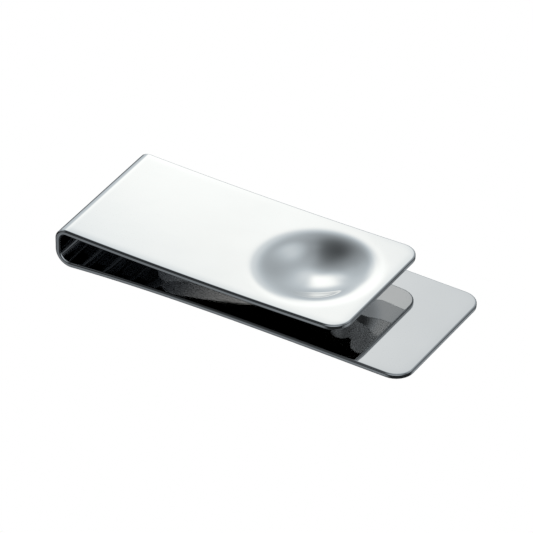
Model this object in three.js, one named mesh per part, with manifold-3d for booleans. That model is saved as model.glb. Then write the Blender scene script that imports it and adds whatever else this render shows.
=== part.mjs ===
// Folded-strip money clip: one strip of spring stainless steel, bent twice into a narrow U.
// The longer lower leaf lies in the palm, the shorter upper leaf has a round thumb dish pressed
// into it, and banknotes slide between the two. Millimetres, +Z up, +X from the fold to the tips.
//
// The whole strip bends as a spring, so it is modelled as a chain of named lengths. Lengths that
// turn against each other keep FLEX_GAP between them, and their hinge lies in that gap.
import * as THREE from "three";
import { mergeVertices } from "three/addons/utils/BufferGeometryUtils.js";
import Module from "manifold-3d";

// Driving dimensions.
const STRIP_WIDTH = 24;
const STRIP_THICKNESS = 0.9;
const LOWER_LENGTH = 60; // fold's outer face to the lower leaf's tip
const UPPER_LENGTH = 49.5; // fold's outer face to the upper leaf's tip
const FOLD_HEIGHT = 6.5; // the upper leaf's top face, carried on to the fold's outer face
const LOWER_BEND_RADIUS = 2.6; // outer faces of the two bends
const UPPER_BEND_RADIUS = 1.9;
const CORNER_RADIUS = 3; // rounded corners of both tips, seen from above
const ARCH_RISE = 0.63; // the lower leaf arches up between its bend and its tip
const ARCH_SKEW = 0.48; // and the crown of the arch lies towards the bend
const UPPER_DROP = 0.045; // the upper leaf leaves the fold sloping down by this, per mm
const UPPER_CURL = 0.00065; // and curls back up by this, per mm squared
const DISH_CENTRE = 38.1; // from the fold's outer face, on the strip's centre line
const DISH_RADIUS = 9.8; // where the dish's rim runs out into the flat leaf
const DISH_BALL_RADIUS = 20; // the floor of the dish is the print of a ball
const DISH_BALL_EDGE = 7; // the ball's print ends here, and the rim's round begins
const FLEX_GAP = 0.3;

// Where one length of the strip ends and the next begins, as distances from the fold's face.
const LOWER_FLEX = 3.2;
const LOWER_SPAN = [20, 40];
const UPPER_ROOT_FLEX = 8;
const UPPER_MID_FLEX = 18;
const UPPER_HEAD = 28;

const BEND_STEPS = 8;
const CORNER_STEPS = 8;
const DISH_SIDES = 48;
const DISH_STEPS = 7; // on the ball's print, and again on the rim
const OVERCUT = 5; // how far a cutting solid runs past the faces that it cuts

const wasm = await Module();
wasm.setup();

// Height of the lower leaf's underside.
function lowerFace(x) {
  const u = (x - LOWER_BEND_RADIUS) / (LOWER_LENGTH - LOWER_BEND_RADIUS);
  return 4 * ARCH_RISE * u * (1 - u) * (1 + ARCH_SKEW * (1 - 2 * u));
}

// Height of the upper leaf's top face.
function upperFace(x) {
  return FOLD_HEIGHT - UPPER_DROP * x + UPPER_CURL * x * x;
}

// The strip is walked from the lower tip, round the fold, to the upper tip. A section is a cut
// right across it: a point on the outer face and the point one thickness inside it, in X-Z.
function section(outer, normal) {
  return { outer, inner: outer.clone().addScaledVector(normal, -STRIP_THICKNESS) };
}

const direction = (from, to) => to.clone().sub(from).normalize();

function outward(from, to) {
  const along = direction(from, to);
  return new THREE.Vector2(-along.y, along.x);
}

// Square cuts through the flat length from-to: a distance past its start, or short of its end.
function cutAfter(from, to, distance) {
  return section(from.clone().addScaledVector(direction(from, to), distance), outward(from, to));
}

function cutBefore(from, to, distance) {
  return section(to.clone().addScaledVector(direction(from, to), -distance), outward(from, to));
}

// Where two flat lengths meet, the cut halves the angle between them, so both share one face.
function mitre(before, corner, after) {
  const first = outward(before, corner);
  const halfway = first.clone().add(outward(corner, after)).normalize();
  const reach = STRIP_THICKNESS / halfway.dot(first);
  return { outer: corner, inner: corner.clone().addScaledVector(halfway, -reach) };
}

// The direction in which a bend's outer face looks where a flat from point runs into it; side
// is +1 for a flat above the bend's centre and -1 for one below it.
function tangentAngle(centre, radius, point, side) {
  const toPoint = point.clone().sub(centre);
  return toPoint.angle() + side * Math.acos(radius / toPoint.length());
}

function bendSections(centre, radius, fromAngle, toAngle) {
  return Array.from({ length: BEND_STEPS + 1 }, (_, i) => {
    const angle = THREE.MathUtils.lerp(fromAngle, toAngle, i / BEND_STEPS);
    const normal = new THREE.Vector2(Math.cos(angle), Math.sin(angle));
    return section(centre.clone().addScaledVector(normal, radius), normal);
  });
}

// The solid that joins two or more sections, over the whole width of the strip.
function stripGeometry(sections) {
  const outer = sections.map((s) => s.outer);
  const inner = sections.map((s) => s.inner);
  const outline = new THREE.Shape([...outer, ...inner.reverse()]);
  const options = { depth: STRIP_WIDTH, bevelEnabled: false };
  const geometry = new THREE.ExtrudeGeometry(outline, options);
  return geometry.rotateX(Math.PI / 2).translate(0, STRIP_WIDTH / 2, 0);
}

// A tall block with the plan of the strip and its two rounded corners at the tip.
function tipBlock(tip) {
  const half = STRIP_WIDTH / 2;
  const cornerX = tip - CORNER_RADIUS;
  const cornerY = half - CORNER_RADIUS;
  const plan = new THREE.Shape()
    .moveTo(0, -half)
    .lineTo(cornerX, -half)
    .absarc(cornerX, -cornerY, CORNER_RADIUS, -Math.PI / 2, 0)
    .absarc(cornerX, cornerY, CORNER_RADIUS, 0, Math.PI / 2)
    .lineTo(0, half);
  const depth = FOLD_HEIGHT + 2 * OVERCUT;
  const options = { depth, bevelEnabled: false, curveSegments: CORNER_STEPS };
  return new THREE.ExtrudeGeometry(plan, options).translate(0, 0, -OVERCUT);
}

// Half of the dish's section on one face of the sheet, from the axis out to the rim. The ball's
// print and the rim's round keep their centres from one face to the other.
const RIM_RADIUS = (DISH_BALL_RADIUS * (DISH_RADIUS - DISH_BALL_EDGE)) / DISH_BALL_EDGE;
const STEEPEST = Math.asin(DISH_BALL_EDGE / DISH_BALL_RADIUS);

function dishFace(ballRadius, rimRadius) {
  const rimCentre = new THREE.Vector2(DISH_RADIUS, -RIM_RADIUS);
  const ballHeight = (DISH_BALL_RADIUS + RIM_RADIUS) * Math.cos(STEEPEST) - RIM_RADIUS;
  const ballCentre = new THREE.Vector2(0, ballHeight);
  const points = [];
  for (let i = 0; i <= DISH_STEPS; i++) {
    const angle = (STEEPEST * i) / DISH_STEPS;
    const down = new THREE.Vector2(Math.sin(angle), -Math.cos(angle));
    points.push(ballCentre.clone().addScaledVector(down, ballRadius));
  }
  for (let i = DISH_STEPS - 1; i >= 0; i--) {
    const angle = (STEEPEST * i) / DISH_STEPS;
    const up = new THREE.Vector2(-Math.sin(angle), Math.cos(angle));
    points.push(rimCentre.clone().addScaledVector(up, rimRadius));
  }
  return points;
}

function dishGeometry() {
  const top = dishFace(DISH_BALL_RADIUS, RIM_RADIUS);
  const under = dishFace(DISH_BALL_RADIUS + STRIP_THICKNESS, RIM_RADIUS - STRIP_THICKNESS);
  const profile = [...under, ...top.reverse()];
  return new THREE.LatheGeometry(profile, DISH_SIDES).rotateX(Math.PI / 2);
}

// three.js geometry to a manifold-3d solid, and back again.
function toSolid(geometry) {
  const bare = geometry.clone();
  bare.deleteAttribute("normal");
  bare.deleteAttribute("uv");
  const merged = mergeVertices(bare, 1e-5);
  const vertProperties = new Float32Array(merged.attributes.position.array);
  const triVerts = new Uint32Array(merged.index.array);
  return new wasm.Manifold(new wasm.Mesh({ numProp: 3, vertProperties, triVerts }));
}

function toGeometry(solid) {
  const { vertProperties, triVerts } = solid.getMesh();
  const geometry = new THREE.BufferGeometry();
  geometry.setAttribute("position", new THREE.BufferAttribute(vertProperties, 3));
  geometry.setIndex(new THREE.BufferAttribute(triVerts, 1));
  const facets = geometry.toNonIndexed();
  facets.computeVertexNormals();
  return facets;
}

const clip = new THREE.Group();
clip.position.x = -LOWER_LENGTH / 2;

// Each length has its own mirror-polished steel.
function addPiece(name, geometry) {
  const steel = new THREE.MeshStandardMaterial({ color: 0xdcdfe1, metalness: 1, roughness: 0.08 });
  const piece = new THREE.Mesh(geometry, steel);
  piece.name = name;
  clip.add(piece);
  return piece;
}

// The two bends, and the flats that run into them.
const facePoint = (x, face) => new THREE.Vector2(x, face(x));
const lowerTip = facePoint(LOWER_LENGTH, lowerFace);
const [spanStart, spanEnd] = LOWER_SPAN.map((x) => facePoint(x, lowerFace));
const rootFlex = facePoint(UPPER_ROOT_FLEX, upperFace);
const midFlex = facePoint(UPPER_MID_FLEX, upperFace);
const headStart = facePoint(UPPER_HEAD, upperFace);
const upperTip = facePoint(UPPER_LENGTH, upperFace);

const lowerCentre = new THREE.Vector2(LOWER_BEND_RADIUS, LOWER_BEND_RADIUS);
const upperCentreHeight = upperFace(UPPER_BEND_RADIUS) - UPPER_BEND_RADIUS;
const upperCentre = new THREE.Vector2(UPPER_BEND_RADIUS, upperCentreHeight);
const lowerAngle = tangentAngle(lowerCentre, LOWER_BEND_RADIUS, spanStart, -1);
const upperAngle = tangentAngle(upperCentre, UPPER_BEND_RADIUS, rootFlex, 1);
const lowerBend = bendSections(lowerCentre, LOWER_BEND_RADIUS, lowerAngle, Math.PI);
const upperBend = bendSections(upperCentre, UPPER_BEND_RADIUS, Math.PI, upperAngle);

// Lower leaf: three flat lengths that follow its arch. The tongue is the part that the upper
// leaf leaves bare, where notes are led in.
const tongueCut = mitre(lowerTip, spanEnd, spanStart);
const spanCut = mitre(spanEnd, spanStart, lowerBend[0].outer);
const flexInset = LOWER_FLEX - lowerBend[0].outer.x;
const heelCut = cutBefore(spanStart, lowerBend[0].outer, flexInset + FLEX_GAP / 2);
const tongueBlank = stripGeometry([cutAfter(lowerTip, spanEnd, -OVERCUT), tongueCut]);
const tongue = toSolid(tongueBlank).intersect(toSolid(tipBlock(LOWER_LENGTH)));
addPiece("lower_leaf_tongue", toGeometry(tongue));
addPiece("lower_leaf_span", stripGeometry([tongueCut, spanCut]));
addPiece("lower_leaf_heel", stripGeometry([spanCut, heelCut]));

// Fold: the lower bend, the upright spine, the upper bend and the root of the upper leaf.
const bendCut = cutBefore(spanStart, lowerBend[0].outer, flexInset - FLEX_GAP / 2);
const rootCut = cutBefore(upperBend[BEND_STEPS].outer, rootFlex, FLEX_GAP / 2);
addPiece("lower_bend", stripGeometry([bendCut, ...lowerBend]));
addPiece("spine_wall", stripGeometry([lowerBend[BEND_STEPS], upperBend[0]]));
addPiece("upper_bend", stripGeometry(upperBend));
addPiece("upper_leaf_root", stripGeometry([upperBend[BEND_STEPS], rootCut]));

// Neck: the length of the upper leaf that bends between the root and the head.
const neckStart = cutAfter(rootFlex, midFlex, FLEX_GAP / 2);
const neckEnd = cutBefore(rootFlex, midFlex, FLEX_GAP / 2);
addPiece("upper_leaf_neck", stripGeometry([neckStart, neckEnd]));

// Head: a plain length, the end with its rounded corners, and the thumb dish in a round seat.
const headCut = mitre(midFlex, headStart, upperTip);
const spanOfHead = stripGeometry([cutAfter(midFlex, headStart, FLEX_GAP / 2), headCut]);
addPiece("upper_leaf_span", spanOfHead);

const dish = addPiece("thumb_dish", dishGeometry());
const headSlope = direction(headStart, upperTip);
const alongHead = (DISH_CENTRE - UPPER_HEAD) / headSlope.x;
const dishPoint = headStart.clone().addScaledVector(headSlope, alongHead);
dish.position.set(dishPoint.x, 0, dishPoint.y);
dish.rotation.y = -headSlope.angle();
dish.updateMatrix();

const seat = new THREE.CylinderGeometry(DISH_RADIUS, DISH_RADIUS, 2 * OVERCUT, DISH_SIDES);
seat.rotateX(Math.PI / 2).applyMatrix4(dish.matrix);
const headBlank = stripGeometry([headCut, cutBefore(headStart, upperTip, -OVERCUT)]);
const head = toSolid(headBlank).intersect(toSolid(tipBlock(UPPER_LENGTH))).subtract(toSolid(seat));
addPiece("upper_leaf_head", toGeometry(head));

export default clip;
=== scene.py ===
# %% [markdown]
# # A folded-strip money clip
# The real clip is a single strip of spring stainless steel, 24 mm wide and just under a
# millimetre thick. It is cut flat, buffed to a mirror, given a thumb dish under a ball press
# and folded twice into a narrow U. There is nothing to assemble, so its looks stand or fall with
# three things: true curves, finished edges, and surroundings worth reflecting.

# %% The frame
import math
import bpy
import bmesh
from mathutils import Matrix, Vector


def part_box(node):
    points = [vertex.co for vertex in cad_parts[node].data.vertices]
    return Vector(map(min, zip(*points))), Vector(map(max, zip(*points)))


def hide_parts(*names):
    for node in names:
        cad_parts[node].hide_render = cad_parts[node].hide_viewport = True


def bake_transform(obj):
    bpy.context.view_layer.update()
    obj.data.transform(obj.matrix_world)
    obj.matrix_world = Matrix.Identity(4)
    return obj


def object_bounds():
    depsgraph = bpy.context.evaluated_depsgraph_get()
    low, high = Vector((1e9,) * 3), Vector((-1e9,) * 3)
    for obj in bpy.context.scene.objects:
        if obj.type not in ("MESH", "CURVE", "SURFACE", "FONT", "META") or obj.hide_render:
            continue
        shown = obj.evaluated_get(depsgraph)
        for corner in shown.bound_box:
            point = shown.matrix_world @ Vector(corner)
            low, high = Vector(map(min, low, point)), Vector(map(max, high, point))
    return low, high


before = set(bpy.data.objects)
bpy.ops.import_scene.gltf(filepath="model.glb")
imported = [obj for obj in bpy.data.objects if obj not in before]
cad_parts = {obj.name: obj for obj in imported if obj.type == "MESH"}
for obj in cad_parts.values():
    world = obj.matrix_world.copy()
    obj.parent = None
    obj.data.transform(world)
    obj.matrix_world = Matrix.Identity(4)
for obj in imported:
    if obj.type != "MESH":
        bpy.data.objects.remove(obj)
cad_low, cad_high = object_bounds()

MM = 0.001
print("packed model, mm:", [round(side / MM, 3) for side in cad_high - cad_low])

# %% [markdown]
# ## Sizes
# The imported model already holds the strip's thickness and width, both bend radii, the reach of
# each leaf and the dish's place and size, so they are measured from it. The few sizes that a
# box can't tell, such as how the leaves bow, are named after them in millimetres.

# %% Sizes read from the frame
spine_low, spine_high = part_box("spine_wall")
dish_low, dish_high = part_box("thumb_dish")
head_low, head_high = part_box("upper_leaf_head")

THICKNESS = spine_high.x - spine_low.x
WIDTH = spine_high.y - spine_low.y
LOWER_BEND = spine_low.z - cad_low.z  # outer radius, as for the upper bend
UPPER_BEND = cad_high.z - spine_high.z
LOWER_REACH = cad_high.x - cad_low.x  # from the fold's outer face to the tip
UPPER_REACH = head_high.x - cad_low.x
DISH_REACH = (dish_low.x + dish_high.x) / 2 - cad_low.x
DISH_RADIUS = (dish_high.y - dish_low.y) / 2
print("strip, mm:", round(WIDTH / MM, 2), "x", round(THICKNESS / MM, 2))
print("bends, mm:", round(LOWER_BEND / MM, 2), round(UPPER_BEND / MM, 2))
print("dish, mm:", round(DISH_REACH / MM, 2), "from the fold, radius", round(DISH_RADIUS / MM, 2))

# %% [markdown]
# ## Sizes of the forms
# The tips are cut with round corners so that they don't catch a pocket. The lower leaf arches
# and the upper leaf curls, because the strip springs back a little at each bend. The dish gives
# the thumb a hold, and on the other side its hump is what pinches the notes.

# %% Sizes of the forms
CORNER = 3 * MM  # corners of both tips, seen from above
EDGE_ROUND = 0.25 * MM  # tumbling takes the sharp edge off
ROLL_OFF = 1.3 * MM  # a soft buffing wheel rolls the faces off, this far in from the edge
ROLL_DROP = 0.014 * MM  # and by this much at the edge
BALL = 18.2 * MM  # the ball that presses the dish
BALL_EDGE = 6.1 * MM  # the ball's print ends here, and the rim's round begins
ROLL_OUT = 1 * MM  # past the dish's radius the round still dies out, too shallow to measure
ARCH_RISE = 0.63 * MM  # the lower leaf arches up off the table
ARCH_SKEW = 0.48  # and the crown of the arch lies towards its bend
ARCH_SPAN = LOWER_REACH - LOWER_BEND
UPPER_SLOPE = 0.0425  # the upper leaf leaves its bend sloping down
UPPER_CURL = 0.00065 / MM  # and curls back up, so that notes slip in under its tip

# %% [markdown]
# ## How long the blank is
# A folded strip keeps its length along the middle of its thickness. Each bend uses up its
# mean radius times its angle, and what is left over is the leaf. Both leaves are a little
# longer than their reach because they leave their bends on a slope.

# %% Lengths along the strip
lower_slope = 4 * ARCH_RISE * (1 + ARCH_SKEW) / ARCH_SPAN
lower_angle = math.pi / 2 + math.atan(lower_slope)
upper_angle = math.pi / 2 + math.atan(UPPER_SLOPE)
lower_arc = (LOWER_BEND - THICKNESS / 2) * lower_angle
upper_arc = (UPPER_BEND - THICKNESS / 2) * upper_angle


def leaf_length(reach, bend, angle, bow):
    """Leaf from the end of its bend to a tip that lies at that reach, for a leaf that bows."""
    return (reach - bend + (bend + bow) * math.cos(angle)) / math.sin(angle)


arch_bow = 4 * ARCH_RISE * (1 + ARCH_SKEW)
upper_bow = UPPER_CURL * (UPPER_REACH - UPPER_BEND) ** 2
dish_bow = UPPER_CURL * (DISH_REACH - UPPER_BEND) ** 2
lower_leaf = leaf_length(LOWER_REACH, LOWER_BEND, lower_angle, arch_bow)
upper_leaf = leaf_length(UPPER_REACH, UPPER_BEND, upper_angle, upper_bow)
dish_along = leaf_length(DISH_REACH, UPPER_BEND, upper_angle, dish_bow)
spine = spine_high.z - spine_low.z
blank_length = lower_leaf + lower_arc + spine + upper_arc + upper_leaf
print("blank cut to, mm:", round(blank_length / MM, 2))

# %% [markdown]
# ## One small function for nodes
# Both the Geometry Nodes tree and the materials are networks of nodes. This function adds one
# node, gives it its settings, and fills its inputs with numbers or with links. Giving a whole
# node as an input means its first output. Most of the networks are sums, and sums read best as
# a table, so a loop works through a table with a node for each line.


# %% Adding a node
def add(tree, kind, inputs=(), **settings):
    node = tree.nodes.new(kind)
    for name, value in settings.items():
        setattr(node, name, value)
    pairs = inputs.items() if isinstance(inputs, dict) else enumerate(inputs)
    for key, value in pairs:
        if isinstance(value, bpy.types.Node):
            value = value.outputs[0]
        if isinstance(value, bpy.types.NodeSocket):
            tree.links.new(value, node.inputs[key])
        else:
            node.inputs[key].default_value = value
    return node


# %% Working through a table of sums
MATH, VECTOR_MATH = "ShaderNodeMath", "ShaderNodeVectorMath"


def work_out(tree, kind, values, sums):
    """Adds a node for each line (name, operation, terms); a term is a name, number or vector."""
    for name, operation, *terms in sums:
        terms = [values[term] if isinstance(term, str) else term for term in terms]
        node = add(tree, kind, terms, operation=operation)
        values[name] = next(output for output in node.outputs if output.enabled)


# %% [markdown]
# ## Colours
# Colours are written as the sRGB hex values of a colour chart. Blender works with linear
# light, so one function turns the one into the other.


# %% Hex to linear
def linear(hex_value):
    channels = [int(hex_value[i : i + 2], 16) / 255 for i in (1, 3, 5)]
    bright = [c / 12.92 if c <= 0.04045 else ((c + 0.055) / 1.055) ** 2.4 for c in channels]
    return (*bright, 1)


# %% [markdown]
# ## Buffed spring steel
# Outer face: cold-rolled 17/7 stainless (AISI 301), ground and then buffed with compound to a
# mirror. To the eye it has almost no colour of its own and shows the room, a little darker
# than it is. What gives it away as metal is small: buffing lines along the strip, so fine that
# they only haze a highlight, and a sheet that is never truly flat, so that what it mirrors
# wavers. Buffing lines are a few micrometres apart on the real strip, far too fine to show,
# so here they are drawn 0.3 mm apart.
#
# The inner face keeps the bright finish that the rolling mill gave it. Towards the fold its colour
# is painted darker, as painted shade where little light gets in between the leaves. The edge is
# tumbled with stones, which leaves it a touch duller than either face.

# %% Sizes of what the steel shows
LINE_PITCH = 0.3 * MM
LINE_LENGTH = 16 * MM
WAVE_LENGTH = 9 * MM
HAZE_SIZE = 2.2 * MM
CLEAR, HAZED = 0.15, 0.4  # haze times lines, where the steel is at its clearest and haziest
CLOUDED = 0.93  # the sheet's colour varies down to this share of its brightest
FOLD_SHADE_FADES_OUT = cad_low.x + 24 * MM  # painted shade between the leaves fades out this far from the fold
FOLD_SHADE_FULL = cad_low.x + 5 * MM  # and is at its darkest from here to the fold
COLOUR_A, COLOUR_B, MIXED = 6, 7, 2  # a Mix node's sockets when it mixes colours
print("painted fold shade fades out, mm from the fold:", round((FOLD_SHADE_FADES_OUT - cad_low.x) / MM, 1))


# %% A steel for every face of the strip
def steel(name, colour, fold_shade_colour, smooth, hazy, line_height, wave_height):
    """Polished sheet; towards the fold its colour turns to a painted shade colour. Smooth and hazy
    are its roughness.
    """
    material = bpy.data.materials.new(name)
    material.use_nodes = True
    tree = material.node_tree
    tree.nodes.clear()
    place = add(tree, "ShaderNodeTexCoord").outputs["Object"]
    stretch = (1 / LINE_LENGTH, 1 / LINE_PITCH, 1 / LINE_LENGTH)
    drawn = add(tree, "ShaderNodeMapping", {"Vector": place, "Scale": stretch})
    line_sizes = {"Vector": drawn, "Scale": 1, "Detail": 2}
    wave_sizes = {"Vector": place, "Scale": 1 / WAVE_LENGTH, "Detail": 2}
    haze_sizes = {"Vector": place, "Scale": 1 / HAZE_SIZE, "Detail": 5}
    lines = add(tree, "ShaderNodeTexNoise", line_sizes)
    waves = add(tree, "ShaderNodeTexNoise", wave_sizes)
    haze = add(tree, "ShaderNodeTexNoise", haze_sizes)
    worn = add(tree, MATH, [haze, lines], operation="MULTIPLY")
    span = {"Value": worn, "From Min": CLEAR, "From Max": HAZED, "To Min": smooth, "To Max": hazy}
    rough = add(tree, "ShaderNodeMapRange", span)
    bow = {"Height": waves, "Strength": 1, "Distance": wave_height}
    wavy = add(tree, "ShaderNodeBump", bow)
    ridges = {"Height": lines, "Strength": 1, "Distance": line_height, "Normal": wavy}
    ridged = add(tree, "ShaderNodeBump", ridges)
    dull = [CLOUDED * c for c in linear(colour)]
    clouds = {"Factor": waves, COLOUR_A: dull, COLOUR_B: linear(colour)}
    tone = add(tree, "ShaderNodeMix", clouds, data_type="RGBA").outputs[MIXED]
    # Painted shade: the colour turns darker towards the fold, where little light gets in between
    # the leaves.
    along = add(tree, "ShaderNodeSeparateXYZ", [place])
    fold_shade_span = {"Value": along, "From Min": FOLD_SHADE_FULL, "From Max": FOLD_SHADE_FADES_OUT}
    clear_of_fold_shade = add(tree, "ShaderNodeMapRange", fold_shade_span, interpolation_type="SMOOTHSTEP")
    ends = {"Factor": clear_of_fold_shade, COLOUR_A: linear(fold_shade_colour), COLOUR_B: tone}
    tone = add(tree, "ShaderNodeMix", ends, data_type="RGBA").outputs[MIXED]
    sockets = {"Base Color": tone, "Metallic": 1, "Roughness": rough, "Normal": ridged}
    surface = add(tree, "ShaderNodeBsdfPrincipled", sockets)
    add(tree, "ShaderNodeOutputMaterial", [surface])
    return material


# Each line: colour, painted shade colour by the fold, roughness, and how high its lines and waves
# are.
buffed_steel = steel(
    "buffed_spring_steel", "#D4D6D7", "#D4D6D7", 0.02, 0.06, 0.0002 * MM, 0.008 * MM
)
inner_steel = steel(
    "bright_rolled_inner_face", "#D3D3D3", "#96989B", 0.02, 0.05, 0.0001 * MM, 0.006 * MM
)
edge_steel = steel(
    "tumbled_steel_edge", "#C4C6C8", "#C4C6C8", 0.04, 0.09, 0.0004 * MM, 0.002 * MM
)
print("finishes:", buffed_steel.name, inner_steel.name, edge_steel.name)

# %% [markdown]
# ## The press and fold tool
# The clip's shape follows a rule: it is what a press and a folding tool do to a flat blank.
# So the flat blank is a mesh, and the tool is a Geometry Nodes tree that moves its points,
# with the tool's sizes as named inputs. The blank stands upright where the spine will be: x
# is depth into the sheet from its outer face, y lies across the strip and z runs along it. The
# tree bows each leaf, presses the dish, and then rolls each leaf round its bend's centre.
# A shear term keeps the thickness square to the bowed leaf.

# %% Inputs of the tool
press = bpy.data.node_groups.new("press_and_fold", "GeometryNodeTree")
press.is_modifier = True
press.interface.new_socket("Blank", in_out="INPUT", socket_type="NodeSocketGeometry")
TOOL_SIZES = {
    "Thickness": THICKNESS,
    "Lower Bend Radius": LOWER_BEND,
    "Lower Bend Height": spine_low.z,
    "Lower Bend Angle": lower_angle,
    "Upper Bend Radius": UPPER_BEND,
    "Upper Bend Height": spine_high.z,
    "Upper Bend Angle": upper_angle,
    "Arch Rise": ARCH_RISE,
    "Arch Skew": ARCH_SKEW,
    "Arch Span": ARCH_SPAN,
    "Upper Curl": UPPER_CURL,
    "Dish Along Leaf": dish_along,
    "Dish Radius": DISH_RADIUS + ROLL_OUT,
    "Ball Radius": BALL,
    "Ball Edge": BALL_EDGE,
    "Fold Face": cad_low.x,
}
socket_of = {}
for name in TOOL_SIZES:
    made = press.interface.new_socket(name, in_out="INPUT", socket_type="NodeSocketFloat")
    socket_of[name] = made.identifier
press.interface.new_socket("Strip", in_out="OUTPUT", socket_type="NodeSocketGeometry")
print("tool inputs:", len(socket_of))

# %% [markdown]
# ## Where a point lies, and how far its leaf is bowed
# A point's height on the upright blank says whether it is on the spine, in a bend or out on a
# leaf. The arch of the lower leaf is a cubic that comes down to the table at both ends, and the
# curl of the upper leaf is a parabola: the plainest curves with a crown nearer to one end and
# with an even bend.

# %% The sums: where along the strip a point lies
given = add(press, "NodeGroupInput")
place = add(press, "GeometryNodeInputPosition")
axes = add(press, "ShaderNodeSeparateXYZ", [place])
known = {name: given.outputs[name] for name in TOOL_SIZES}
known |= {"x": axes.outputs[0], "y": axes.outputs[1], "z": axes.outputs[2]}
work_out(press, MATH, known, [
    ("half", "MULTIPLY", "Thickness", 0.5),
    ("outward", "SUBTRACT", "half", "x"),
    ("lower mean", "SUBTRACT", "Lower Bend Radius", "half"),
    ("upper mean", "SUBTRACT", "Upper Bend Radius", "half"),
    ("lower arc", "MULTIPLY", "lower mean", "Lower Bend Angle"),
    ("upper arc", "MULTIPLY", "upper mean", "Upper Bend Angle"),
    ("below", "SUBTRACT", "Lower Bend Height", "z"),
    ("above", "SUBTRACT", "z", "Upper Bend Height"),
    ("past lower", "SUBTRACT", "below", "lower arc"),
    ("past upper", "SUBTRACT", "above", "upper arc"),
    ("on lower leaf", "MAXIMUM", "past lower", 0.0),
    ("on upper leaf", "MAXIMUM", "past upper", 0.0),
    ("from lower start", "MAXIMUM", "below", 0.0),
    ("from upper start", "MAXIMUM", "above", 0.0),
    ("lower used", "MINIMUM", "from lower start", "lower arc"),
    ("upper used", "MINIMUM", "from upper start", "upper arc"),
    ("lower turn", "DIVIDE", "lower used", "lower mean"),
    ("lower turned", "MULTIPLY", "lower turn", -1.0),
    ("upper turned", "DIVIDE", "upper used", "upper mean"),
])

# %% The sums: how the leaves bow
work_out(press, MATH, known, [
    ("u", "DIVIDE", "on lower leaf", "Arch Span"),
    ("u2", "MULTIPLY", "u", "u"),
    ("u3", "MULTIPLY", "u2", "u"),
    ("cubic", "MULTIPLY", "Arch Skew", 2.0),
    ("square", "MULTIPLY_ADD", "Arch Skew", 3.0, 1.0),
    ("cubic part", "MULTIPLY", "cubic", "u3"),
    ("square part", "MULTIPLY", "square", "u2"),
    ("arch", "SUBTRACT", "cubic part", "square part"),
    ("rise", "MULTIPLY", "Arch Rise", 4.0),
    ("lower bow", "MULTIPLY", "rise", "arch"),
    ("cubic slope", "MULTIPLY", "cubic", 3.0),
    ("cubic slope part", "MULTIPLY", "cubic slope", "u2"),
    ("square slope", "MULTIPLY", "square", -2.0),
    ("arch slope", "MULTIPLY_ADD", "square slope", "u", "cubic slope part"),
    ("rise per length", "DIVIDE", "rise", "Arch Span"),
    ("lower lean back", "MULTIPLY", "rise per length", "arch slope"),
    ("lower lean", "MULTIPLY", "lower lean back", -1.0),
    ("curl back", "MULTIPLY", "Upper Curl", -1.0),
    ("upper rate", "MULTIPLY", "curl back", "on upper leaf"),
    ("upper bow", "MULTIPLY", "upper rate", "on upper leaf"),
    ("upper lean", "MULTIPLY", "upper rate", 2.0),
    ("lean", "ADD", "lower lean", "upper lean"),
])

# %% [markdown]
# ## The dish's section
# The floor of the dish is the print of a ball. Outside the print the sheet can't turn a sharp
# corner, so it rolls over on a round whose slope fades from the ball's to nothing. Writing the
# slope as a cosine makes both joins smooth, which a mirror would otherwise give away at once.

# %% The sums: how deep the dish is
work_out(press, MATH, known, [
    ("off centre", "SUBTRACT", "on upper leaf", "Dish Along Leaf"),
    ("along2", "MULTIPLY", "off centre", "off centre"),
    ("radius2", "MULTIPLY_ADD", "y", "y", "along2"),
    ("radius", "SQRT", "radius2"),
    ("in print", "MINIMUM", "radius", "Ball Edge"),
    ("in print2", "MULTIPLY", "in print", "in print"),
    ("ball2", "MULTIPLY", "Ball Radius", "Ball Radius"),
    ("edge2", "MULTIPLY", "Ball Edge", "Ball Edge"),
    ("floor2", "SUBTRACT", "ball2", "in print2"),
    ("floor", "SQRT", "floor2"),
    ("lip2", "SUBTRACT", "ball2", "edge2"),
    ("lip", "SQRT", "lip2"),
    ("print", "SUBTRACT", "floor", "lip"),
    ("round width", "SUBTRACT", "Dish Radius", "Ball Edge"),
    ("past print", "SUBTRACT", "radius", "in print"),
    ("t free", "DIVIDE", "past print", "round width"),
    ("t", "MINIMUM", "t free", 1.0),
    ("angle", "MULTIPLY", "t", math.pi),
    ("sine", "SINE", "angle"),
    ("sine part", "DIVIDE", "sine", math.pi),
    ("left", "SUBTRACT", 1.0, "t"),
    ("fade", "SUBTRACT", "left", "sine part"),
    ("steepest", "DIVIDE", "Ball Edge", "lip"),
    ("fall", "MULTIPLY", "steepest", "round width"),
    ("half fall", "MULTIPLY", "fall", 0.5),
    ("dish", "MULTIPLY_ADD", "half fall", "fade", "print"),
])

# %% [markdown]
# ## Rolling round the bends
# A folding tool wraps the strip round a bar. Here each point is first drawn back to where its
# bend starts, and then turned about the bar's centre by as much of the bend as it has used up.

# %% The sums: rolling the leaves round their bends
work_out(press, MATH, known, [
    ("bowed", "ADD", "lower bow", "upper bow"),
    ("pressed", "ADD", "bowed", "dish"),
    ("depth", "ADD", "x", "pressed"),
    ("kept square", "MULTIPLY_ADD", "outward", "lean", "z"),
    ("upper unrolled", "SUBTRACT", "kept square", "upper used"),
    ("height", "ADD", "upper unrolled", "lower used"),
])
formed = add(press, "ShaderNodeCombineXYZ", [known["depth"], known["y"], known["height"]])
for bend in ("Upper", "Lower"):
    radius, height = known[bend + " Bend Radius"], known[bend + " Bend Height"]
    centre = add(press, "ShaderNodeCombineXYZ", {"X": radius, "Z": height})
    roll = {"Vector": formed, "Center": centre, "Angle": known[bend.lower() + " turned"]}
    formed = add(press, "ShaderNodeVectorRotate", roll, rotation_type="Y_AXIS")
shift = add(press, "ShaderNodeCombineXYZ", {"X": known["Fold Face"]})
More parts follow.
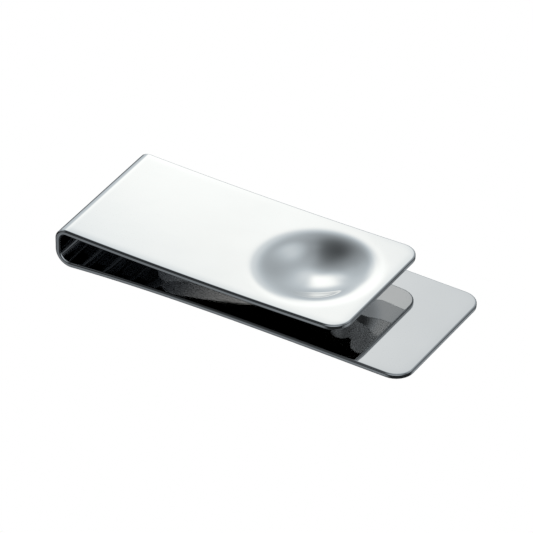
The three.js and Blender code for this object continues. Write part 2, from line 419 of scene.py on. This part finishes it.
placed = add(press, VECTOR_MATH, [formed, shift], operation="ADD")

# %% [markdown]
# ## Finishes by face
# The blank's faces carry a mark that says which of them are the inner face and which are the
# edge, and the tool gives each its steel. The outer face keeps the buffed one.

# %% The end of the tool
bending = {"Geometry": given.outputs["Blank"], "Position": placed}
moved = add(press, "GeometryNodeSetPosition", bending)
real = add(press, "GeometryNodeRealizeInstances", [moved])
faces = add(press, "GeometryNodeSetMaterial", {"Geometry": real, "Material": buffed_steel})
for mark, finish in (("inner_face", inner_steel), ("edge_face", edge_steel)):
    chosen = add(press, "GeometryNodeInputNamedAttribute", {"Name": mark}, data_type="BOOLEAN")
    coated = {"Geometry": faces, "Selection": chosen, "Material": finish}
    faces = add(press, "GeometryNodeSetMaterial", coated)
add(press, "NodeGroupOutput", [faces])
print("tool nodes:", len(press.nodes))

# %% [markdown]
# ## The flat blank
# The strip is a spring. The blank is drawn as three lengths, cut where the steel doesn't bend.
# Rows of quads run across the strip. Narrow columns next to the borders keep the shading of the
# flat faces apart from that of the edge.

# %% Stations along the strip and points across it
CELL = 0.4 * MM
BEND_CELL = 0.16 * MM
CORNER_ROWS = 8
SUPPORT = 0.06 * MM  # the narrow columns, and narrow rows on the edge's wall


def stations(*stretches):
    """Distances from the start of a length; each stretch is (length, largest step)."""
    found = [0.0]
    for length, step in stretches:
        count = max(1, math.ceil(length / step))
        found += [found[-1] + length * i / count for i in range(1, count + 1)]
    return found


half_flat = WIDTH / 2 - EDGE_ROUND
columns = math.ceil(2 * half_flat / CELL)
steps = [i / columns * 2 - 1 for i in range(1, columns)]
support = 1 - SUPPORT / half_flat
across = [-1, -support] + [s for s in steps if abs(s) < support] + [support, 1]
print("points across the strip:", len(across))

# %% [markdown]
# ## The edge of the blank
# Blanking leaves a sharp edge, and tumbling rounds it. The edge is swept along the border as
# a quarter round, a straight wall and another quarter round. Each is (how far out from the
# flat face's border, how far into the sheet).

# %% The edge's section
ROUND_STEPS = 5  # quads round each quarter


def edge_section():
    turn = [math.pi / 2 * i / ROUND_STEPS for i in range(1, ROUND_STEPS + 1)]
    rounds = [(math.sin(a), 1 - math.cos(a)) for a in turn]
    upper = [(EDGE_ROUND * out, ROLL_DROP + EDGE_ROUND * into) for out, into in rounds]
    upper.append((EDGE_ROUND, ROLL_DROP + EDGE_ROUND + SUPPORT))
    lower = [(out, THICKNESS - into) for out, into in reversed(upper)]
    return upper + lower


edge = edge_section()
print("points on the edge's section:", len(edge))


# %% [markdown]
# ## Rows across a length of blank
# A press tool cuts the tips with round corners. Each row of the grid is as wide as the tip is
# there, so the corners come out as true arcs.


# %% Rows of one length
def rows_of(run, tip):
    """(distance, half width, lean of the border) for each row; a tip has rounded corners."""
    rows = [(s, half_flat, 0.0) for s in run]
    if tip:
        end, small = run[-1], CORNER - EDGE_ROUND
        for i in range(1, CORNER_ROWS + 1):
            lean = math.pi / 2 * i / CORNER_ROWS
            half = WIDTH / 2 - CORNER + small * math.cos(lean)
            rows.append((end + small * math.sin(lean), half, lean))
    return rows


# %% [markdown]
# ## The two faces
# Both faces are grids of points. A soft buffing wheel wraps round the edge and rolls the faces
# off near it, so their outermost points lie a little deeper.


# %% Points of the two faces
def rolled_off(a, half, to_tip):
    """How far buffing has lowered the face at a share a of the half width, to_tip from the tip."""
    inward = min((1 - abs(a)) * half, to_tip)
    return ROLL_DROP * max(0, 1 - inward / ROLL_OFF) ** 2


def face_points(rows, start, heading, tip):
    """Points of both faces, and the number of the point at each (face, row, place across)."""
    points, grid = [], {}
    for side, depth, inwards in (("outer", 0.0, 1), ("inner", THICKNESS, -1)):
        for i, (s, half, _) in enumerate(rows):
            to_tip = rows[-1][0] - s if tip else ROLL_OFF
            for j, a in enumerate(across):
                grid[side, i, j] = len(points)
                into = depth + inwards * rolled_off(a, half, to_tip)
                points.append((into, a * half, start + heading * s))
    return points, grid


# %% [markdown]
# ## The edge all the way round
# The edge's section is set up at every place on the border, square to it, as a chain of points
# from the outer face to the inner one. Neighbouring chains are then joined by quads.


# %% Chains of points down the edge
def edge_chains(rows, points, grid, start, heading, tip):
    """Chains down the left border, round the tip if there is one, and down the right border."""
    last_row, last = len(rows) - 1, len(across) - 1

    def chain(i, j, lean, hand):
        s, half, _ = rows[i]
        found = [grid["outer", i, j]]
        for out, into in edge:
            found.append(len(points))
            y = across[j] * half + hand * out * math.cos(lean)
            points.append((into, y, start + heading * (s + out * math.sin(lean))))
        return found + [grid["inner", i, j]]

    left = [chain(i, 0, rows[i][2], -1) for i in range(last_row + 1)]
    right = [chain(i, last, rows[i][2], 1) for i in range(last_row + 1)]
    end = [chain(last_row, j, math.pi / 2, 1) for j in range(1, last)] if tip else []
    return left, end, right


# %% [markdown]
# ## Cutting a length of blank
# Faces, edge and cut ends close the length to one solid sheet. Each face of the mesh is marked
# with what it belongs to, because the tool gives it its finish by that mark.


# %% Cutting one length of blank
def cut_blank(name, start, heading, run, tip):
    """A flat length: start is its z, heading is +1 or -1 along z, run its stations."""
    rows = rows_of(run, tip)
    points, grid = face_points(rows, start, heading, tip)
    left, end, right = edge_chains(rows, points, grid, start, heading, tip)
    last_row, last = len(rows) - 1, len(across) - 1
    quads = {"outer": [], "inner": [], "edge": []}
    for side in ("outer", "inner"):
        for i in range(last_row):
            for j in range(last):
                corners = ((i, j), (i, j + 1), (i + 1, j + 1), (i + 1, j))
                quads[side].append([grid[side, a, b] for a, b in corners])
    for chains in [left + end + right[::-1]] if tip else [left, right]:
        for one, two in zip(chains, chains[1:]):
            for k in range(len(one) - 1):
                quads["edge"].append([one[k], one[k + 1], two[k + 1], two[k]])
    for i in (0,) if tip else (0, last_row):
        for j in range(last):
            corners = (("outer", j), ("outer", j + 1), ("inner", j + 1), ("inner", j))
            quads["edge"].append([grid[face, i, b] for face, b in corners])
        quads["edge"] += [left[i], right[i]]
    mesh = bpy.data.meshes.new(name + "_blank")
    mesh.from_pydata(points, [], quads["outer"] + quads["inner"] + quads["edge"])
    for mark in ("inner", "edge"):
        layer = mesh.attributes.new(mark + "_face", "BOOLEAN", "FACE")
        marked = [side == mark for side, found in quads.items() for _ in found]
        layer.data.foreach_set("value", marked)
    return mesh


# %% [markdown]
# ## Pressing and folding
# Each blank gets the tool as a modifier. A modifier's input is set by the socket's identifier,
# and before anything looks at the result. The evaluated shape then becomes a plain mesh of its
# own. Its faces are turned outwards and shaded smooth, with a crease only at the hidden cuts.


# %% Forming a length of strip
CREASE = math.radians(50)


def form(name, start, heading, run, tip):
    blank = bpy.data.objects.new(name + "_blank", cut_blank(name, start, heading, run, tip))
    bpy.context.scene.collection.objects.link(blank)
    tool = blank.modifiers.new("press_and_fold", "NODES")
    tool.node_group = press
    for size, value in TOOL_SIZES.items():
        tool[socket_of[size]] = value
    folded = blank.evaluated_get(bpy.context.evaluated_depsgraph_get())
    mesh = bpy.data.meshes.new_from_object(folded)
    bpy.data.objects.remove(blank)
    mesh.name = name
    skin = bmesh.new()
    skin.from_mesh(mesh)
    bmesh.ops.recalc_face_normals(skin, faces=skin.faces)
    for face in skin.faces:
        face.smooth = True
    skin.to_mesh(mesh)
    skin.free()
    mesh.set_sharp_from_angle(angle=CREASE)
    for mark in ("inner_face", "edge_face"):
        mesh.attributes.remove(mesh.attributes[mark])
    piece = bpy.data.objects.new(name, mesh)
    bpy.context.scene.collection.objects.link(piece)
    print(name, "faces:", len(mesh.polygons), "materials:", [m.name for m in mesh.materials])
    return piece


# %% [markdown]
# ## The three lengths
# One cut goes across the middle of the spine and one across the upper leaf, well away from the
# dish. The rows round a tip's corners take up the last stretch of a leaf by themselves.

# %% The three lengths
spine_cut = (spine_low.z + spine_high.z) / 2
NECK_CUT = 13 * MM  # from the fold's outer face
to_neck_cut = leaf_length(NECK_CUT, UPPER_BEND, upper_angle, 0)
lower_run = stations(
    (spine / 2, BEND_CELL), (lower_arc, BEND_CELL), (lower_leaf - CORNER, CELL)
)
fold_run = stations((spine / 2, BEND_CELL), (upper_arc, BEND_CELL), (to_neck_cut, CELL))
head_run = stations((upper_leaf - to_neck_cut - CORNER, CELL))
neck_height = spine_high.z + upper_arc + to_neck_cut

lower_strip = form("lower_leaf_strip", spine_cut, -1, lower_run, True)
fold_strip = form("upper_fold_strip", spine_cut, 1, fold_run, False)
head_strip = form("upper_leaf_strip", neck_height, 1, head_run, True)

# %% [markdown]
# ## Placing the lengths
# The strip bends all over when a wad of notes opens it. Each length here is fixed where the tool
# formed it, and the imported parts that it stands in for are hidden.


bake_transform(lower_strip)
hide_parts("lower_leaf_tongue", "lower_leaf_span", "lower_leaf_heel", "lower_bend")
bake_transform(fold_strip)
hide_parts("spine_wall", "upper_bend", "upper_leaf_root")
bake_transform(head_strip)
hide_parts("upper_leaf_neck", "upper_leaf_span", "upper_leaf_head", "thumb_dish")
for piece in (lower_strip, fold_strip, head_strip):
    print(piece.name, "follows its bodies")

# %% [markdown]
# ## Camera
# A long lens from well back keeps the clip's lines nearly parallel, as a catalogue shows it. It
# looks from above the near side and towards the tips, which lets the gap between the leaves be
# seen. The camera is placed by its direction and distance from an aim point.

# %% The camera
AZIMUTH, ELEVATION = math.radians(31), math.radians(35)
DISTANCE = 896 * MM
AIM = Vector((-2.8, 4.0, -0.5)) * MM
SENSOR, LENS = 36, 405  # millimetres of film and of focal length
towards_camera = Vector((math.sin(AZIMUTH), -math.cos(AZIMUTH), 0))
back = towards_camera * math.cos(ELEVATION) + Vector((0, 0, math.sin(ELEVATION)))
camera = bpy.data.objects.new("camera", bpy.data.cameras.new("camera"))
bpy.context.scene.collection.objects.link(camera)
camera.data.sensor_width = SENSOR
camera.data.lens = LENS
camera.data.clip_start, camera.data.clip_end = 0.01, 20  # metres
camera.location = AIM + back * DISTANCE
camera.rotation_mode = "QUATERNION"
camera.rotation_quaternion = back.to_track_quat("Z", "Y")
bpy.context.scene.camera = camera
print("camera at, mm:", [round(c / MM, 1) for c in camera.location])

# %% [markdown]
# ## The light tent
# A mirror has no looks of its own, so the light is the finish. Polished metal is shown in a
# tent: a dome of white cloth, brighter where a soft box shines through it and darker where the
# cloth is unlit. The dome here glows by direction. Directions are counted in degrees from
# straight away from the camera: a turn to the right, and a height above the table.

# %% Directions in the tent
away = -towards_camera
right = Vector((math.cos(AZIMUTH), math.sin(AZIMUTH), 0))
tent_cloth = bpy.data.materials.new("tent_cloth")
tent_cloth.use_nodes = True
cloth = tent_cloth.node_tree
cloth.nodes.clear()
part = {"seen": add(cloth, "ShaderNodeTexCoord").outputs["Object"]}
work_out(cloth, VECTOR_MATH, part, [
    ("unit", "NORMALIZE", "seen"),
    ("ahead", "DOT_PRODUCT", "unit", away),
    ("aside", "DOT_PRODUCT", "unit", right),
    ("up", "DOT_PRODUCT", "unit", Vector((0, 0, 1))),
])
DEGREE = math.radians(1)
work_out(cloth, MATH, part, [
    ("turn", "ARCTAN2", "aside", "ahead"),
    ("azimuth", "DIVIDE", "turn", DEGREE),
    ("lift", "ARCSINE", "up"),
    ("height", "DIVIDE", "lift", DEGREE),
])

# %% [markdown]
# ## The plain tent
# Above the table's far edge the cloth is an even grey, and below it the table is nearly dark. The
# edge is soft, so that the steel doesn't show it as a hard line. All patches fade out overhead,
# where every turn meets in one point.

# %% Cloth and table
SKY, TABLE = 0.65, 0.05  # brightness above and below the edge of the table, before patches
EDGE_LOW, EDGE_HIGH = -10, 0  # degrees over which the one turns into the other
OVERHEAD, FADE_FROM = 90, 70
edge_of_table = {"Value": part["height"], "From Min": EDGE_LOW, "From Max": EDGE_HIGH}
edge_of_table |= {"To Min": TABLE, "To Max": SKY}
horizon = add(cloth, "ShaderNodeMapRange", edge_of_table, interpolation_type="SMOOTHSTEP")
part["glow"] = horizon.outputs[0]
top_fade = {"Value": part["height"], "From Min": OVERHEAD, "From Max": FADE_FROM}
fade = add(cloth, "ShaderNodeMapRange", top_fade, interpolation_type="SMOOTHSTEP")
part["off the top"] = fade.outputs[0]

# %% [markdown]
# ## Lights and shades on the cloth
# A lamp through cloth makes a soft patch, and a low squareness makes it softer. A patch that
# takes light away is cloth that no lamp reaches. Turns run from -180 to 180, so what lies
# straight behind the camera is written once from each side.

# %% The patches
# (turn, height, half its width, half its height, squareness, brightness added)
PATCHES = [
    (-3, 27, 7, 12, 4, 0.55),  # the middle of the soft box, straight behind
    (5, 35, 12, 25, 2, 0.55),  # its glow through the cloth
    (-14, 20, 15, 18, 4, 0.35),  # and its spill on the left
    (-12, 30, 4, 9, 2, 0.3),
    (-37, 60, 60, 48, 2, -0.55),  # unlit cloth, high on the left
    (-32, 42, 50, 12, 2, 0.25),  # a lighter band across it
    (2, 50, 10, 8, 2, -0.15),
    (36, 60, 18, 14, 2, 0.4),  # a second, weaker lamp, high on the right
    (180, 20, 118, 50, 6, -0.6),  # the open side, where the camera looks in from the dark
    (-180, 20, 118, 50, 6, -0.6),
    (180, 20, 45, 24, 4, 0.8),  # a white card behind the camera
    (-180, 20, 45, 24, 4, 0.8),
    (-86, 26, 23, 18, 4, 0.5),  # and a smaller one on either hand
    (100, 26, 23, 18, 4, 0.5),
    (-5, -35, 27, 15, 4, 1.15),  # the table behind, lit by the soft box
    (66, -35, 20, 16, 2, 0.45),  # less of it beyond the tips
    (-118, -36, 26, 12, 2, 0.4),  # and least of it on the near side
]
for turn, height, half_width, half_height, squareness, brightness in PATCHES:
    work_out(cloth, MATH, part, [
        ("off aside", "SUBTRACT", "azimuth", float(turn)),
        ("a signed", "DIVIDE", "off aside", float(half_width)),
        ("a", "ABSOLUTE", "a signed"),
        ("a power", "POWER", "a", float(squareness)),
        ("off up", "SUBTRACT", "height", float(height)),
        ("b signed", "DIVIDE", "off up", float(half_height)),
        ("b", "ABSOLUTE", "b signed"),
        ("b power", "POWER", "b", float(squareness)),
        ("both", "ADD", "a power", "b power"),
        ("less", "MULTIPLY", "both", -1.0),
        ("patch", "EXPONENT", "less"),
        ("faded patch", "MULTIPLY", "patch", "off the top"),
        ("glow", "MULTIPLY_ADD", "faded patch", brightness, "glow"),
    ])
DARKEST = 0.03  # some light gets everywhere in a tent
work_out(cloth, MATH, part, [("glow", "MAXIMUM", "glow", DARKEST)])
print("patches on the tent:", len(PATCHES), "nodes:", len(cloth.nodes))

# %% [markdown]
# ## The light's colour
# Cloth in shade takes on the cool light of the room, and the lamps themselves are a little warm.

# %% Cool in the shade, warm in the light
COOL, WARM = "#F2FAFF", "#FFFFFC"
SHADE, LAMP = 0.8, 1.4  # brightness at which the light is at its coolest and warmest
shading = {"Value": part["glow"], "From Min": SHADE, "From Max": LAMP}
warmth = add(cloth, "ShaderNodeMapRange", shading)
hues = {"Factor": warmth, COLOUR_A: linear(COOL), COLOUR_B: linear(WARM)}
hue = add(cloth, "ShaderNodeMix", hues, data_type="RGBA").outputs[MIXED]
light = add(cloth, "ShaderNodeEmission", {"Color": hue, "Strength": part["glow"]})
add(cloth, "ShaderNodeOutputMaterial", [light])

# %% [markdown]
# ## The tent itself
# A whole sphere stands in for the cloth and the table below it. It faces inwards, and only
# the steel sees it: the view looks straight through it.

# %% The tent
TENT = 0.55  # radius in metres
tent_mesh = bpy.data.meshes.new("light_tent")
shell = bmesh.new()
bmesh.ops.create_uvsphere(shell, u_segments=64, v_segments=32, radius=TENT)
bmesh.ops.reverse_faces(shell, faces=shell.faces)
shell.to_mesh(tent_mesh)
shell.free()
tent = bpy.data.objects.new("light_tent", tent_mesh)
tent_mesh.materials.append(tent_cloth)
bpy.context.scene.collection.objects.link(tent)
tent.visible_camera = False
tent.visible_shadow = False
print("tent across, m:", 2 * TENT)

# %% [markdown]
# ## The table
# The table is plain white and so brightly lit that the clip stands on white with no shadow. What
# the steel mirrors of it is already on the lower half of the tent, so the steel doesn't see this
# sheet.

# %% The white table
SIDE, DROP = 8, 0.2 * MM  # half its width in metres, and how far it lies under the clip
level = cad_low.z - DROP
table = bpy.data.meshes.new("white_table")
plan = ((-SIDE, -SIDE), (SIDE, -SIDE), (SIDE, SIDE), (-SIDE, SIDE))
table.from_pydata([(x, y, level) for x, y in plan], [], [(0, 1, 2, 3)])
white_paper = bpy.data.materials.new("white_paper")
white_paper.use_nodes = True
paper = white_paper.node_tree
paper.nodes.clear()
shine = add(paper, "ShaderNodeEmission", {"Color": linear("#FFFFFF"), "Strength": 1})
add(paper, "ShaderNodeOutputMaterial", [shine])
table.materials.append(white_paper)
white_table = bpy.data.objects.new("white_table", table)
bpy.context.scene.collection.objects.link(white_table)
white_table.visible_glossy = False
white_table.visible_diffuse = False
print("table across, m:", 2 * SIDE)

# %% [markdown]
# ## The room
# Past the table's edge is a white room. Plain sRGB shows the steel's greys as they are.

# %% The room
world = bpy.data.worlds.new("pale_room")
world.use_nodes = True
room = world.node_tree.nodes["Background"]
room.inputs["Color"].default_value = linear("#FFFFFF")
room.inputs["Strength"].default_value = 1.0
bpy.context.scene.world = world
bpy.context.scene.view_settings.view_transform = "Standard"

# %% [markdown]
# ## Sizes compared
# ## Sizes of the strip
# The strip takes its sizes from the imported model's parts.

# %% Sizes of the strip
print("the strip's sizes are read from the imported model")
